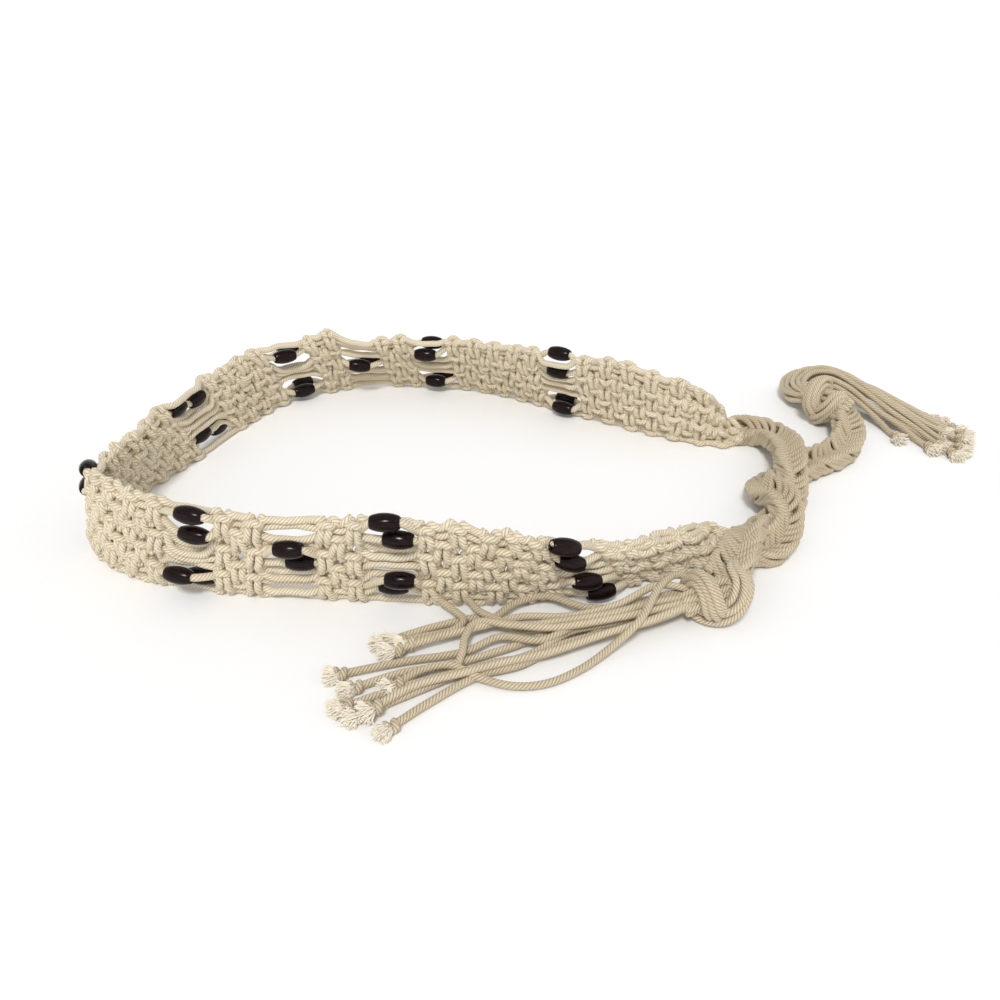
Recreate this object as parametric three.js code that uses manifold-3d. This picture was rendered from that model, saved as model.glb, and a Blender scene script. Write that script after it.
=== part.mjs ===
// A macrame belt: a knotted cotton band with wooden beads, laid in a loop on its lower edge.
// Its two ends are gathered into plaits, tied in a half knot, and end in a knot and a tassel each.
// Millimetres, +Z up. The floor is z = 0 and the origin is the middle of the belt's footprint.
import * as THREE from 'three';
import Module from 'manifold-3d';
import { mergeVertices } from 'three/addons/utils/BufferGeometryUtils.js';

const wasm = await Module();
wasm.setup();

// Driving dimensions
const CORD = 2.8;
const BAND_WIDTH = 42;
const BAND_THICKNESS = 4.8;
const BAND_THIN = 4.0;
const SCALLOP = 0.9;
const BEAD_LENGTH = 11.5;
const BEAD_DIAMETER = 7;
const BEAD_HOLE = 3.7;
const PLAIT_WIDTH = 15;
const PLAIT_THICKNESS = 9;
const PLAIT_KNOTTED_WIDTH = 12.5;
const PLAIT_KNOTTED_THICKNESS = 8.3;
const PLAIT_STEP = 6;
const TWIST_RADIUS = 4.6;
const TWIST_HEIGHT = 9.2;
const LOCK_WIDTH = 6.4;
const LOCK_THICKNESS = 3.6;
const LOCK_STEP = 15;
const GAP = 0.35;

// Where the loop's middle lies in the tables below
const MIDDLE = { x: 32.5, y: 364.6 };

// The band's lower edge on the floor, from its front end round to its back end.
// tipX and tipY say how far the top edge stands off the lower edge, and width is measured across.
const bandRows = [
  { x: 92, y: 331, tipX: -8, tipY: 11, width: 16 },
  { x: 82, y: 329, tipX: -14, tipY: -4, width: 24 },
  { x: 64, y: 322.5, tipX: -18, tipY: -14, width: 33 },
  { x: 43, y: 313, tipX: -17, tipY: -15, width: 38 },
  { x: 24, y: 308, tipX: -11, tipY: -14, width: 40 },
  { x: 3, y: 304, tipX: -4, tipY: -11, width: 41 },
  { x: -17, y: 303, tipX: -1, tipY: -8, width: 42 },
  { x: -36, y: 304, tipX: 1, tipY: -7, width: 42 },
  { x: -60, y: 306, tipX: 3, tipY: -8, width: 42 },
  { x: -88, y: 308, tipX: 6, tipY: -8, width: 42 },
  { x: -120, y: 313, tipX: 7, tipY: -5, width: 42 },
  { x: -146, y: 323, tipX: 7, tipY: -2, width: 42 },
  { x: -160, y: 336, tipX: 9, tipY: -4, width: 41 },
  { x: -165, y: 351, tipX: 11, tipY: -11, width: 40 },
  { x: -163, y: 368, tipX: 7.5, tipY: -20, width: 40 },
  { x: -153, y: 390, tipX: 0, tipY: -24, width: 41 },
  { x: -139, y: 417, tipX: -7, tipY: -22, width: 42 },
  { x: -127, y: 445, tipX: -8, tipY: -20.5, width: 42 },
  { x: -111, y: 472, tipX: -7, tipY: -19, width: 42 },
  { x: -86, y: 489, tipX: -6, tipY: -21, width: 42 },
  { x: -61, y: 495, tipX: -6, tipY: -22.5, width: 42 },
  { x: -34, y: 494, tipX: -7, tipY: -22.5, width: 42 },
  { x: -5, y: 486, tipX: -7, tipY: -21, width: 42 },
  { x: 30, y: 465, tipX: -7, tipY: -18, width: 42 },
  { x: 61, y: 445, tipX: -5, tipY: -14, width: 42 },
  { x: 86, y: 431, tipX: -3, tipY: -9.5, width: 36 },
  { x: 98, y: 427, tipX: -1, tipY: -3, width: 27 },
  { x: 105, y: 425.5, tipX: 0, tipY: 5, width: 20 },
  { x: 110, y: 425, tipX: 1, tipY: 13, width: 15.5 },
];

// Loose stretches with beads. at and half are along the lower edge, and rowsAfter counts the knot
// rows up to the next stretch. The edge cords' places are up the band and out from its inner face.
// Each bead has its place along from the middle, up the band, and out from its inner face.
const ROWS_BEFORE_FIRST = 9;
const looseStretches = [
  { at: 58.5, half: 13, rowsAfter: 9, lowEdge: [2.2, 1.4], highEdge: [38, 0.8],
    beads: [[-2, 46.5, 5.8], [2, 33, 6], [0, 20, 7.4], [-2, 9.6, 7.2]] },
  { at: 136, half: 11, rowsAfter: 3, lowEdge: [2, 1.4], highEdge: [40, 1.4],
    beads: [[1, 43.7, 6], [-3.5, 35.7, 6], [-3.5, 17.2, 7.6], [-0.5, 10.3, 3.6]] },
  { at: 175, half: 11, rowsAfter: 3, lowEdge: [2, 1.4], highEdge: [40, 1.4],
    beads: [[0, 30.5, 6.9], [-4, 21.2, 3.7]] },
  { at: 214.5, half: 11, rowsAfter: 9, lowEdge: [2, 1.4], highEdge: [40, 1.4],
    beads: [[-2.5, 41, 6.9], [-4, 32, 6.9], [1.5, 12.2, 8.4], [-4.3, 8, 2.4]] },
  { at: 285.5, half: 12.5, rowsAfter: 9, lowEdge: [2, 1.4], highEdge: [40, 1.4],
    beads: [[1, 36.2, 6.6], [-3, 27.2, 6.6], [2, 15.3, -4], [1, 6.6, -4]] },
  { at: 365.5, half: 14, rowsAfter: 7, lowEdge: [2, 1.4], highEdge: [41.5, 0.2], shared: true,
    beads: [[-6.8, 35.5, 3], [6.2, 33.2, 3], [-5.8, 11.8, 3], [7, 8, 4.4]] },
  { at: 428, half: 11, rowsAfter: 3, lowEdge: [1.4, 3.5], highEdge: [40, 1.4],
    beads: [[2, 31, 8.2], [-1.3, 34.5, 1], [-1, 6.3, 0.7], [1, 3.5, 8.6]] },
  { at: 463.5, half: 11, rowsAfter: 3, lowEdge: [2, 1.4], highEdge: [40, 1.4],
    beads: [[-2, 23, -1.5], [2.5, 18, 5.4]] },
  { at: 500, half: 11, rowsAfter: 9, lowEdge: [2.5, 0.2], highEdge: [40, 1.4],
    beads: [[0.5, 31, 8], [-1.5, 31.5, 0], [-1, 8.7, -1.1], [1, 3.6, 5.5]] },
  { at: 571.5, half: 11, rowsAfter: 13, lowEdge: [1.5, 1], highEdge: [36.8, 0.5],
    beads: [[1, 41.2, 4.4], [0, 30.3, 1.8], [1.5, 6.4, -1.6], [-1, 3.4, 6.2]] },
];

// The axis that the two plaits turn about in their half knot, from its back end to its front end
const twistAxis = [[129, 390], [119.5, 362], [97, 326]];

// Routes outside the twist: x, y and z of the centre, and roll of the flat face in degrees
const backPlaitIn = [[111.5, 431.5, 5, 0], [120, 432, 5.2, 0], [127, 427, 6.5, 0], [131, 414, 9.5, 0],
  [131, 401, 12.5, 0]];
const backPlaitOut = [[88, 309, 14.5, -360], [84, 301, 14, -360], [81, 294, 13, -360]];
const frontPlaitIn = [[165, 452, 11, 0], [169, 444, 9.5, 0], [168.5, 432.5, 6.5, 0], [164, 420, 5, 0],
  [155, 408, 4.8, 0], [142, 400, 4.6, 0]];
const frontPlaitOut = [[92, 327.5, 4.7, -360]];

// Tassel heads: the overhand knots at the ends of the plaits
const frontHead = { x: 79, y: 294.5, z: 11, length: 28, width: 25, height: 24, turn: -0.6 };
const backHead = { x: 163, y: 454, z: 10.5, length: 28, width: 25, height: 23, turn: 0.7 };

// Tassel locks from the head to the tip: x, y and z of the centre
const frontLocks = [
  [[79, 294, 9], [60, 287, 6.5], [42, 283, 5], [22, 284, 4], [6, 288, 3.5], [-8, 279, 3],
    [-26, 273, 3], [-42, 276, 3.5]],
  [[79, 294, 7], [58, 281, 5], [38, 273, 4], [18, 266, 3], [-2, 268, 3], [-24, 266, 3],
    [-42, 262, 3], [-60, 257, 3]],
  [[79, 294, 6], [56, 276, 3.5], [34, 266, 2.5], [12, 259, 2.3], [-8, 258, 2.3], [-26, 252, 2.4],
    [-42, 246, 3], [-56, 240, 3]],
  [[79, 294, 12], [66, 289, 12], [53, 277, 9], [40, 266, 4], [26, 255, 2.2], [12, 250, 2],
    [-6, 251, 2], [-21, 244, 2.4], [-38, 232, 3]],
  [[79, 294, 10], [62, 291, 9.5], [46, 288, 8], [26, 278, 7.4], [8, 276, 7], [-10, 266, 6.6],
    [-27, 262, 6.3], [-44, 268, 6]],
];
const backLocks = [
  [[163, 454, 10], [151, 461, 8], [141, 470, 5], [142, 480, 4], [152, 486, 6], [166, 484, 10],
    [182, 476, 10], [200, 463, 6], [218, 447, 3], [231, 434, 2.4]],
  [[163, 454, 12], [153, 466, 10], [150, 477, 9], [158, 482, 13], [172, 478, 16.5], [188, 468, 13],
    [204, 453, 7], [218, 437, 3.4], [228, 424, 3]],
  [[163, 454, 14], [158, 468, 14], [164, 477, 17], [176, 470, 18], [190, 458, 12], [203, 442, 6.5],
    [212, 428, 3.4], [221, 411, 2.6]],
  [[163, 454, 14], [170, 466, 16], [182, 461, 13], [194, 447, 6.5], [202, 432, 3], [207, 420, 2.4],
    [208, 410, 2.4]],
];

// Materials
const cotton = { color: 0xcfc2a0, roughness: 0.95, metalness: 0 };
const darkWood = { color: 0x241a1a, roughness: 0.28, metalness: 0 };

const belt = new THREE.Group();
belt.position.set(-MIDDLE.x, -MIDDLE.y, 0);

function addPiece(name, geometry, finish) {
  const mesh = new THREE.Mesh(geometry, new THREE.MeshStandardMaterial(finish));
  mesh.name = name;
  belt.add(mesh);
  return mesh;
}

// Solids as manifolds and back
function toSolid(geometry) {
  const bare = geometry.clone();
  bare.deleteAttribute('normal');
  bare.deleteAttribute('uv');
  const merged = mergeVertices(bare.index ? bare.toNonIndexed() : bare, 1e-4);
  const vertProperties = new Float32Array(merged.attributes.position.array);
  const triVerts = new Uint32Array(merged.index.array);
  return new wasm.Manifold(new wasm.Mesh({ numProp: 3, vertProperties, triVerts }));
}

function toGeometry(solid) {
  const { vertProperties, triVerts } = solid.getMesh();
  const geometry = new THREE.BufferGeometry();
  geometry.setAttribute('position', new THREE.BufferAttribute(new Float32Array(vertProperties), 3));
  geometry.setIndex(new THREE.BufferAttribute(new Uint32Array(triVerts), 1));
  geometry.computeVertexNormals();
  return geometry;
}

// A closed skin through rings of equal length, with flat fans at both ends
function loft(rings) {
  const around = rings[0].length;
  const triangles = [];
  for (let i = 0; i + 1 < rings.length; i += 1) {
    for (let j = 0; j < around; j += 1) {
      const a = i * around + j;
      const b = i * around + (j + 1) % around;
      triangles.push(a, b, b + around, a, b + around, a + around);
    }
  }
  const last = (rings.length - 1) * around;
  for (let j = 1; j + 1 < around; j += 1) {
    triangles.push(0, j + 1, j, last, last + j, last + j + 1);
  }
  const points = rings.flat();
  let volume = 0;
  for (let i = 0; i < triangles.length; i += 3) {
    const [a, b, c] = [0, 1, 2].map((k) => points[triangles[i + k]]);
    volume += a.dot(new THREE.Vector3().crossVectors(b, c));
  }
  if (volume < 0) triangles.reverse();
  const geometry = new THREE.BufferGeometry();
  geometry.setAttribute('position', new THREE.Float32BufferAttribute(points.flatMap((p) => p.toArray()), 3));
  geometry.setIndex(triangles);
  return geometry;
}

// From the lower edge to the top edge of a row
function acrossBand({ tipX, tipY, width }) {
  return new THREE.Vector3(tipX, tipY, Math.sqrt(width ** 2 - tipX ** 2 - tipY ** 2));
}

// The band's lower edge, sampled along its length with the way across to its top edge
const STEPS_PER_ROW = 24;
const edgeCurve = new THREE.CatmullRomCurve3(
  bandRows.map(({ x, y }) => new THREE.Vector3(x, y, 0)), false, 'centripetal');
const edgeSamples = [];
for (let i = 0; i + 1 < bandRows.length; i += 1) {
  for (let k = 0; k < STEPS_PER_ROW; k += 1) {
    const t = k / STEPS_PER_ROW;
    const blend = THREE.MathUtils.smoothstep(t, 0, 1);
    edgeSamples.push({
      point: edgeCurve.getPoint((i + t) / (bandRows.length - 1)),
      across: acrossBand(bandRows[i]).lerp(acrossBand(bandRows[i + 1]), blend),
    });
  }
}
edgeSamples.forEach((sample, i) => {
  const before = edgeSamples[i - 1];
  sample.along = before ? before.along + sample.point.distanceTo(before.point) : 0;
});
const BAND_LENGTH = edgeSamples.at(-1).along;

function edgeAt(along) {
  let high = edgeSamples.findIndex((sample) => sample.along > along);
  if (high < 1) high = high === 0 ? 1 : edgeSamples.length - 1;
  const a = edgeSamples[high - 1];
  const b = edgeSamples[high];
  const t = (along - a.along) / (b.along - a.along);
  const across = a.across.clone().lerp(b.across, t);
  const onward = b.point.clone().sub(a.point);
  return {
    point: a.point.clone().lerp(b.point, t),
    outward: new THREE.Vector3().crossVectors(across, onward).normalize(),
    across: across.divideScalar(BAND_WIDTH),
  };
}

// A point of the band: along its lower edge, up its width, and out from its inner face
function onBand(along, up, out) {
  const { point, across, outward } = edgeAt(along);
  point.addScaledVector(across, up).addScaledVector(outward, out);
  point.z = Math.max(0, point.z);
  return point;
}

// Sections of the band: chamfered strips from low to high, between two depths
function strip(along, low, high, inside, outside, chamfer = 1) {
  const middle = (inside + outside) / 2;
  return [
    [low + chamfer, inside], [high - chamfer, inside], [high, middle],
    [high - chamfer, outside], [low + chamfer, outside], [low, middle],
  ].map(([up, out]) => onBand(along, up, out));
}

// A block of knot rows: rows of three knots are wide and thick, rows of two between them narrower
function knotBlock(start, end, rows) {
  const pitch = (end - start) / rows;
  const rings = [strip(start, 0, BAND_WIDTH, 0, BAND_THIN)];
  for (let row = 0; row < rows; row += 1) {
    const inset = row % 2 ? SCALLOP : 0;
    const thickness = row % 2 ? BAND_THIN : BAND_THICKNESS;
    rings.push(strip(start + (row + 0.5) * pitch, inset, BAND_WIDTH - inset, 0, thickness));
  }
  rings.push(strip(end, 0, BAND_WIDTH, 0, BAND_THIN));
  return loft(rings);
}

// A round cord of few sides through points, used inside the band's loose stretches
function cordBar(points, sides = 5) {
  const rings = points.map((point, i) => {
    const before = points[Math.max(i - 1, 0)];
    const after = points[Math.min(i + 1, points.length - 1)];
    const tangent = after.clone().sub(before).normalize();
    const side = new THREE.Vector3().crossVectors(tangent, new THREE.Vector3(0, 0, 1)).normalize();
    const rise = new THREE.Vector3().crossVectors(side, tangent);
    return Array.from({ length: sides }, (_, k) => {
      const angle = ((k + 0.5) / sides) * 2 * Math.PI;
      const around = point.clone()
        .addScaledVector(side, Math.cos(angle) * CORD / 2)
        .addScaledVector(rise, Math.sin(angle) * CORD / 2);
      around.z = Math.max(0, around.z);
      return around;
    });
  });
  return loft(rings);
}

const BAR_BITE = 0.8;
const EDGE_UP = 2;
const BEAD_GRIP = BEAD_LENGTH / 2 + 0.9;
const UPPER_CORDS = [37.2, 31.5];
const LOWER_CORDS = [10.5, 5];
const MIDDLE_CORDS = [22.8, 19.2];

// The straight stretch of cord that a bead sits on
function beadSeat(stretch, [offset, up, out]) {
  const along = stretch.at + offset;
  const centre = onBand(along, up, out);
  const way = onBand(along + 4, up, out).sub(onBand(along - 4, up, out)).setLength(BEAD_GRIP);
  return [centre.clone().sub(way), centre.clone().add(way)];
}

// The cords of a stretch that carry beads: how high up the band each starts, and its beads in order
function threads({ beads, shared }) {
  if (beads.length === 2) return beads.map((bead, i) => [MIDDLE_CORDS[i], [bead]]);
  const [a, b, c, d] = beads;
  if (shared) return [[UPPER_CORDS[0], [a, b]], [LOWER_CORDS[0], [c, d]]];
  return [
    [Math.max(...UPPER_CORDS), [a[1] > b[1] ? a : b]], [Math.min(...UPPER_CORDS), [a[1] > b[1] ? b : a]],
    [Math.max(...LOWER_CORDS), [c[1] > d[1] ? c : d]], [Math.min(...LOWER_CORDS), [c[1] > d[1] ? d : c]],
  ];
}

function stretchBars(stretch) {
  const start = stretch.at - stretch.half - BAR_BITE;
  const end = stretch.at + stretch.half + BAR_BITE;
  const middle = BAND_THIN / 2;
  const bars = [stretch.lowEdge, stretch.highEdge].map(([up, out]) => {
    const block = up > BAND_WIDTH / 2 ? BAND_WIDTH - EDGE_UP : EDGE_UP;
    return cordBar([onBand(start, block, middle), onBand(stretch.at - BEAD_GRIP, up, out),
      onBand(stretch.at + BEAD_GRIP, up, out), onBand(end, block, middle)]);
  });
  for (const [height, beads] of threads(stretch)) {
    bars.push(cordBar([onBand(start, height, middle),
      ...beads.flatMap((bead) => beadSeat(stretch, bead)), onBand(end, height, middle)]));
  }
  const pair = stretch.beads.length === 2;
  for (const [low, high, pull] of pair ? [[4.5, 13.5, 0.3], [29, 37.5, 0.3]] : [[13, 29, 3]]) {
    bars.push(loft([
      strip(start, low, high, 0.5, 3.3),
      strip(stretch.at - stretch.half / 2, low + pull, high - pull, 0, CORD),
      strip(stretch.at + stretch.half / 2, low + pull, high - pull, 0, CORD),
      strip(end, low, high, 0.5, 3.3),
    ]));
  }
  return bars;
}

function wovenBand() {
  let start = 0;
  let rows = ROWS_BEFORE_FIRST;
  const solids = [];
  for (const stretch of looseStretches) {
    solids.push(knotBlock(start, stretch.at - stretch.half, rows));
    solids.push(...stretchBars(stretch));
    start = stretch.at + stretch.half;
    rows = stretch.rowsAfter;
  }
  solids.push(knotBlock(start, BAND_LENGTH, rows));
  const whole = solids.map(toSolid).reduce((all, solid) => all.add(solid));
  return toGeometry(whole);
}

// An oval bead, drilled along its length, from a profile that closes round the hole
function beadGeometry() {
  const end = BEAD_LENGTH / 2;
  const hole = BEAD_HOLE / 2;
  const shoulder = BEAD_DIAMETER * 0.4;
  const profile = [
    [hole, -end], [shoulder, -end * 0.8], [BEAD_DIAMETER / 2, 0], [shoulder, end * 0.8],
    [hole, end], [hole, -end],
  ].map(([radius, height]) => new THREE.Vector2(radius, height));
  return new THREE.LatheGeometry(profile, 8);
}

function addBeads() {
  let count = 0;
  for (const stretch of looseStretches) {
    for (const bead of stretch.beads) {
      const [from, to] = beadSeat(stretch, bead);
      count += 1;
      const mesh = addPiece(`bead_${String(count).padStart(2, '0')}`, beadGeometry(), darkWood);
      mesh.position.copy(from).lerp(to, 0.5);
      const axis = to.clone().sub(from).normalize();
      mesh.quaternion.setFromUnitVectors(new THREE.Vector3(0, 1, 0), axis);
    }
  }
}

// A soft rope of flat oval section along a route, whose size may change along it
function ovalRope(route, step, sides, sizeAt) {
  const curve = new THREE.CatmullRomCurve3(
    route.map(([x, y, z]) => new THREE.Vector3(x, y, z)), false, 'centripetal');
  const length = curve.getLength();
  const count = Math.max(Math.round(length / step), 3);
  const rings = [];
  for (let i = 0; i <= count; i += 1) {
    const u = i / count;
    const t = curve.getUtoTmapping(u);
    const place = t * (route.length - 1);
    const index = Math.min(Math.floor(place), route.length - 2);
    const roll = THREE.MathUtils.degToRad(THREE.MathUtils.lerp(
      route[index][3] ?? 0, route[index + 1][3] ?? 0, place - index));
    const tangent = curve.getTangent(t);
    const side = new THREE.Vector3().crossVectors(tangent, new THREE.Vector3(0, 0, 1)).normalize();
    const rise = new THREE.Vector3().crossVectors(side, tangent);
    const [width, thickness] = sizeAt(u, length);
    const centre = curve.getPoint(t);
    rings.push(Array.from({ length: sides }, (_, k) => {
      const angle = ((k + 0.5) / sides) * 2 * Math.PI;
      const x = Math.cos(angle) * width / 2;
      const y = Math.sin(angle) * thickness / 2;
      const point = centre.clone()
        .addScaledVector(side, x * Math.cos(roll) - y * Math.sin(roll))
        .addScaledVector(rise, x * Math.sin(roll) + y * Math.cos(roll));
      point.z = Math.max(0, point.z);
      return point;
    }));
  }
  return loft(rings);
}

// The stretch of a plait that turns once about the half knot's axis.
// It starts above or below the axis and passes it again on the other side halfway.
function twistRoute(startsAbove) {
  const axis = new THREE.CatmullRomCurve3(twistAxis.map(([x, y]) => new THREE.Vector3(x, y, 0)));
  const route = [];
  const STEPS = 8;
  for (let i = 0; i <= STEPS; i += 1) {
    const u = i / STEPS;
    const centre = axis.getPointAt(u);
    const tangent = axis.getTangentAt(u);
    const turn = -360 * u;
    const angle = THREE.MathUtils.degToRad((startsAbove ? 90 : -90) + 360 * u);
    const radius = TWIST_RADIUS + 0.6 * Math.abs(Math.cos(angle));
    const side = new THREE.Vector3(tangent.y, -tangent.x, 0);
    centre.addScaledVector(side, -Math.cos(angle) * radius);
    route.push([centre.x, centre.y, TWIST_HEIGHT + Math.sin(angle) * radius, turn]);
  }
  return route;
}

function plaitSize(knotFrom, knotTo) {
  return (u, length) => {
    const near = THREE.MathUtils.smoothstep(u, knotFrom - 0.08, knotFrom)
      * (1 - THREE.MathUtils.smoothstep(u, knotTo, knotTo + 0.08));
    const lump = 1 + 0.05 * Math.cos((u * length / 12) * 2 * Math.PI);
    return [THREE.MathUtils.lerp(PLAIT_WIDTH, PLAIT_KNOTTED_WIDTH, near) * lump,
      THREE.MathUtils.lerp(PLAIT_THICKNESS, PLAIT_KNOTTED_THICKNESS, near)];
  };
}

// A knot's head as a ball with its poles up and down, cut flat at the floor
function headSolid({ x, y, z, length, width, height, turn }, grow = 0) {
  const ball = new THREE.SphereGeometry(1, 12, 8);
  ball.rotateX(Math.PI / 2);
  ball.scale(length / 2 + grow, width / 2 + grow, height / 2 + grow);
  ball.rotateZ(turn);
  ball.translate(x, y, z);
  const { position } = ball.attributes;
  for (let i = 0; i < position.count; i += 1) position.setZ(i, Math.max(-grow, position.getZ(i)));
  return toSolid(ball);
}

// A head with its locks fused to it; each lock swells at its tip, where its cords are knotted
function tassel(head, locks) {
  const lockSize = (u, length) => {
    const fromTip = (1 - u) * length;
    const swell = fromTip < 14 && fromTip > 4 ? 1.2 : 1;
    return [LOCK_WIDTH * swell, LOCK_THICKNESS * swell];
  };
  let solid = headSolid(head);
  for (const lock of locks) {
    solid = solid.add(toSolid(ovalRope(lock, LOCK_STEP, 6, lockSize)));
  }
  return toGeometry(solid);
}

// The space round one end of the band, which its plait stays clear of
function bandEndSpace(ends) {
  const outside = BAND_THICKNESS + GAP;
  return toSolid(loft(ends.map((along) => strip(along, -1, BAND_WIDTH + 1, -GAP, outside, 0.5))));
}

// A plait, clear of the head that it runs into and of the band's end that it starts from
function plait(route, knotFrom, knotTo, head, ends) {
  const rope = toSolid(ovalRope(route, PLAIT_STEP, 8, plaitSize(knotFrom, knotTo)));
  return toGeometry(rope.subtract(headSolid(head, GAP)).subtract(bandEndSpace(ends)));
}

const FRONT_END = [-GAP, 6, 12, 20];
const BACK_END = [BAND_LENGTH - 20, BAND_LENGTH - 12, BAND_LENGTH - 6, BAND_LENGTH + GAP];

addPiece('woven_band', wovenBand(), cotton);
addBeads();
const backRoute = [...backPlaitIn, ...twistRoute(true), ...backPlaitOut];
const frontRoute = [...frontPlaitIn, ...twistRoute(false), ...frontPlaitOut];
addPiece('back_plait', plait(backRoute, 0.25, 0.8, frontHead, BACK_END), cotton);
addPiece('front_plait', plait(frontRoute, 0.4, 0.95, backHead, FRONT_END), cotton);
addPiece('front_tassel', tassel(frontHead, frontLocks), cotton);
addPiece('back_tassel', tassel(backHead, backLocks), cotton);

export default belt;
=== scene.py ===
import math

import bpy
import numpy as np
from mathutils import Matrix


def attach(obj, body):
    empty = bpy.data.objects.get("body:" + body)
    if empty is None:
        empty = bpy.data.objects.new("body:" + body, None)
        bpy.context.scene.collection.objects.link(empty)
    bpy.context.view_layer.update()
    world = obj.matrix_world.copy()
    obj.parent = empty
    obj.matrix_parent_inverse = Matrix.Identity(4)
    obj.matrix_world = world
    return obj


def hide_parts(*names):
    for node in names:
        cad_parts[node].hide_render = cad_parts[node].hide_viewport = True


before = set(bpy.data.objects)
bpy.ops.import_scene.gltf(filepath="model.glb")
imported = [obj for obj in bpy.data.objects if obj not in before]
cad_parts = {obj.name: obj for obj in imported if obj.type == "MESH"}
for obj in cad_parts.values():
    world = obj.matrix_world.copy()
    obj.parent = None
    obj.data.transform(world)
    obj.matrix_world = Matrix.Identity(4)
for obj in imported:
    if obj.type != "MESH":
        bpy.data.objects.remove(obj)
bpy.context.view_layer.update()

# A macrame belt in its real cords, each one swept along its own path through the knots.
# Tables and routes are in millimetres as in the part's source, and meshes are in metres.
MM = 0.001
MIDDLE = np.array([32.5, 364.6, 0.0])
UP = np.array([0.0, 0.0, 1.0])
rng = np.random.default_rng(11)

# Cord across, the band's width and thickness, and how many cords it has and how far apart they lie
CORD = 2.8
BAND_WIDTH = 42.0
BAND_THICKNESS = 4.8
MID_OUT = BAND_THICKNESS / 2
CORDS = 12
CORD_STEP = BAND_WIDTH / CORDS
# A cord's radius in the band's knots, in the plaits and the tied knots, and in a tip's small knot
KNOTTED = 1.47
PLAITED = 1.42
TIP_CORD = CORD * 0.46
# How far the cords' undersides are kept off the floor, and the tassels'
OFF_FLOOR = 0.06
TASSEL_OFF_FLOOR = 0.05
# How much darker the plaits' colour is made, as painted shade for the deep shadows between their strands, and
# the tassels'
PLAIT_PAINTED_SHADE = 2.8
TASSEL_PAINTED_SHADE = 0.8 * PLAIT_PAINTED_SHADE

# Camera: its height over the tables' zero point, and its tilt down in degrees
CAMERA_HEIGHT = 226.0
CAMERA_TILT = 31.0

# The band's lower edge (x, y), how far the top edge stands off it (tip x, tip y), and its width
BAND_ROWS = np.array([
    (92, 331, -8, 11, 16), (82, 329, -14, -4, 24), (64, 322.5, -18, -14, 33), (43, 313, -17, -15, 38),
    (24, 308, -11, -14, 40), (3, 304, -4, -11, 41), (-17, 303, -1, -8, 42), (-36, 304, 1, -7, 42),
    (-60, 306, 3, -8, 42), (-88, 308, 6, -8, 42), (-120, 313, 7, -5, 42), (-146, 323, 7, -2, 42),
    (-160, 336, 9, -4, 41), (-165, 351, 11, -11, 40), (-163, 368, 7.5, -20, 40),
    (-153, 390, 0, -24, 41), (-139, 417, -7, -22, 42), (-127, 445, -8, -20.5, 42),
    (-111, 472, -7, -19, 42), (-86, 489, -6, -21, 42), (-61, 495, -6, -22.5, 42),
    (-34, 494, -7, -22.5, 42), (-5, 486, -7, -21, 42), (30, 465, -7, -18, 42), (61, 445, -5, -14, 42),
    (86, 431, -3, -9.5, 36), (98, 427, -1, -3, 27), (105, 425.5, 0, 5, 20), (110, 425, 1, 13, 15.5)])

# Loose stretches: middle along the band, half length, knot rows up to the next one, the edge
# cords' (up, out), the middle cords' (squeeze, up, out), how far single cords bow up, and each
# bead's (along, up, out)
ROWS_BEFORE_FIRST = 9
STRETCHES = [
    dict(at=58.5, half=13, rows=9, low=(2.2, 1.4), high=(38, 0.8), mid=(0.62, 0, 2.2),
         beads=[(-2, 46.5, 5.8), (2, 33, 6), (0, 20, 7.4), (-2, 9.6, 7.2)]),
    dict(at=136, half=11, rows=3, low=(1.7, 1.4), high=(40.5, 1.4), mid=(0.66, 1.5, 2.2),
         bows={4: 2.5, 0: -1, 8: -1.5},
         beads=[(1, 43.7, 6), (-3.5, 35.7, 6), (-3.5, 17.2, 7.6), (-0.5, 10.3, 3.6)]),
    dict(at=175, half=11, rows=3, low=(2, 1.4), high=(40, 1.4), mid=(1, 0, 1.6), bows={10: -0.3, 9: -0.6},
         beads=[(0, 30.5, 6.9), (-4, 21.2, 3.7)]),
    dict(at=214.5, half=11, rows=9, low=(2, 1.4), high=(40, 1.4), mid=(0.66, 0, 2.2),
         bows={3: 0.5, 4: -1.5, 5: -2, 6: -2.5, 7: -4, 8: -4},
         beads=[(-2.5, 41, 6.9), (-4, 32, 6.9), (1.5, 12.2, 8.4), (-4.3, 8, 2.4)]),
    dict(at=285.5, half=12.5, rows=9, low=(2, 1.4), high=(40, 1.4), mid=(0.66, 0, 2.2),
         beads=[(1, 36.2, 6.6), (-3, 27.2, 6.6), (2, 15.3, -4), (1, 6.6, -4)]),
    dict(at=365.5, half=14, rows=7, low=(2, 1.4), high=(41.5, 0.2), mid=(0.6, 0, 1.4), shared=True,
         bows={11: 1}, beads=[(-6.8, 35.5, 3), (6.2, 33.2, 3), (-5.8, 11.8, 3), (7, 8, 4.4)]),
    dict(at=428, half=11, rows=3, low=(1.4, 3.5), high=(40.5, 1.4), mid=(0.6, 0, 1.8), bows={11: 1, 8: -1.5},
         beads=[(2, 31, 8.2), (-1.3, 34.5, 1), (-1, 6.3, 0.7), (1, 3.5, 8.6)]),
    dict(at=463.5, half=11, rows=3, low=(2, 1.4), high=(40, 1.4), mid=(1, 0, 1.6),
         beads=[(-2, 23, -1.5), (2.5, 18, 5.4)]),
    dict(at=500, half=11, rows=9, low=(2.5, 0.2), high=(40, 1.4), mid=(0.6, -1, 1.8),
         beads=[(0.5, 31, 8), (-1.5, 31.5, 0), (-1, 8.7, -1.1), (1, 3.6, 5.5)]),
    dict(at=571.5, half=11, rows=13, low=(1.5, 1), high=(36.8, 0.5), mid=(0.66, -1, 1.8),
         beads=[(1, 41.2, 4.4), (0, 30.3, 1.8), (1.5, 6.4, -1.6), (-1, 3.4, 6.2)]),
]

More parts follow.
